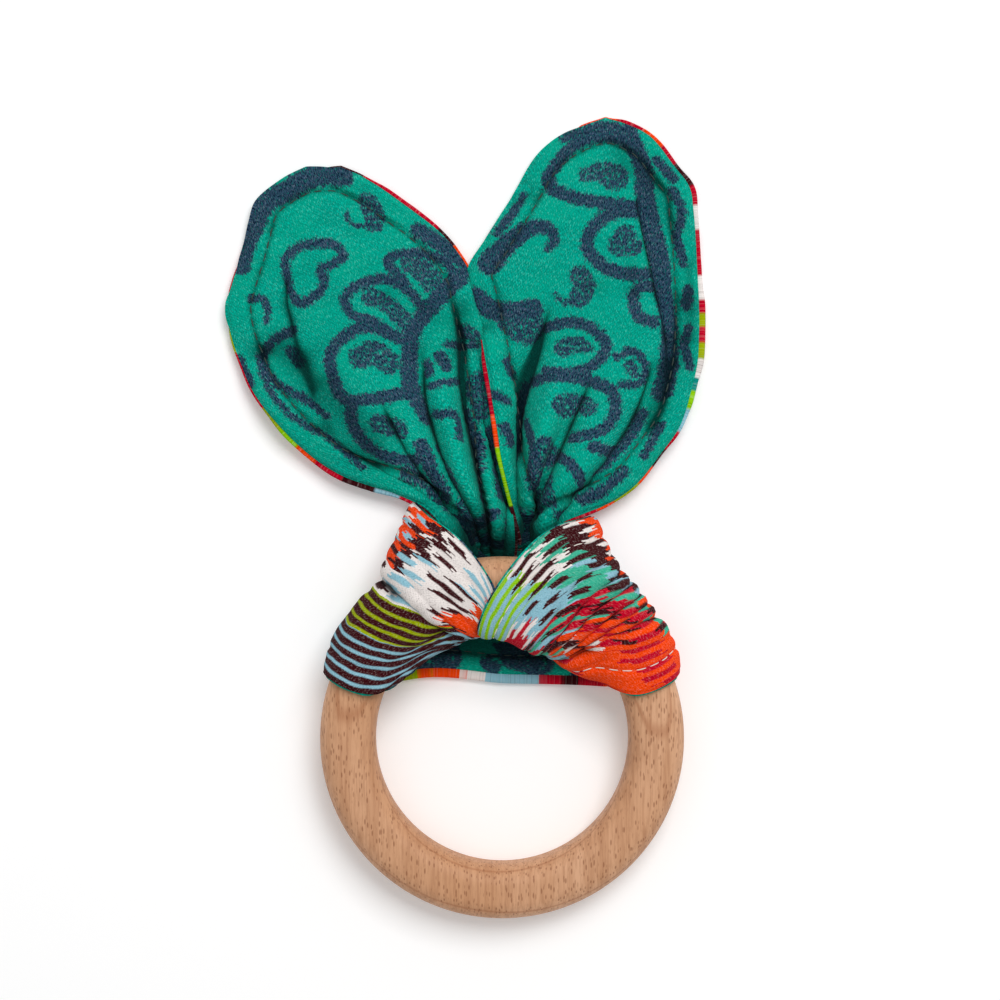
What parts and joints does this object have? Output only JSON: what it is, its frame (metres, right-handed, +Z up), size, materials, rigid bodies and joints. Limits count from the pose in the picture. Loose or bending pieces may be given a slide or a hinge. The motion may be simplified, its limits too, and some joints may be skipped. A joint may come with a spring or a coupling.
{
  "type": "teething ring",
  "caption": "Wooden teething ring with a two-layer cloth strip hitched round it, whose leaf-shaped ends stand out as bunny ears.",
  "frame": {"origin": "on the table under the centre of the ring, which is the part's origin and the mount hand_hole's place", "axes": "+Z up from the table the toy lies on, +Y from the ring towards the ears, +X to the right as seen from above"},
  "size_m": [0.0922, 0.1545, 0.0187],
  "materials": {
    "beech": "bare sanded beech with short brown flecks",
    "flannel": "brushed teal flannel with a navy scroll print",
    "plaid": "woven plaid cotton in maroon, crimson, orange, lime, light blue and white",
    "light_thread": "off-white sewing thread",
    "teal_thread": "dark teal sewing thread"
  },
  "bodies": {
    "hitch": {"band_plaid": "plaid", "band_flannel": "flannel", "band_topstitch": "teal_thread", "left_wrap_plaid": "plaid", "left_wrap_flannel": "flannel", "left_wrap_topstitch": "light_thread", "right_wrap_plaid": "plaid", "right_wrap_flannel": "flannel", "right_wrap_topstitch": "light_thread", "left_arm_plaid": "plaid", "left_arm_flannel": "flannel", "right_arm_plaid": "plaid", "right_arm_flannel": "flannel", "left_neck_plaid": "plaid", "left_neck_flannel": "flannel", "right_neck_plaid": "plaid", "right_neck_flannel": "flannel"},
    "ring": {"ring": "beech"},
    "left_ear": {"left_ear_plaid": "plaid", "left_ear_flannel": "flannel", "left_ear_topstitch": "teal_thread", "left_ear_seam_thread": "light_thread"},
    "right_ear": {"right_ear_plaid": "plaid", "right_ear_flannel": "flannel", "right_ear_topstitch": "teal_thread", "right_ear_seam_thread": "light_thread"}
  },
  "joints": [
    {"name": "ring_turn", "type": "hinge", "parent": "hitch", "child": "ring", "pos_m": [0, 0, 0.00759], "axis": [0, -0.0777, 0.997], "continuous": true},
    {"name": "left_ear_fold", "type": "hinge", "parent": "hitch", "child": "left_ear", "pos_m": [0, 0.042, 0.006], "axis": [1, 0, 0], "range_deg": [0, 100]},
    {"name": "right_ear_fold", "type": "hinge", "parent": "hitch", "child": "right_ear", "pos_m": [0, 0.042, 0.006], "axis": [1, 0, 0], "range_deg": [0, 100]}
  ]
}
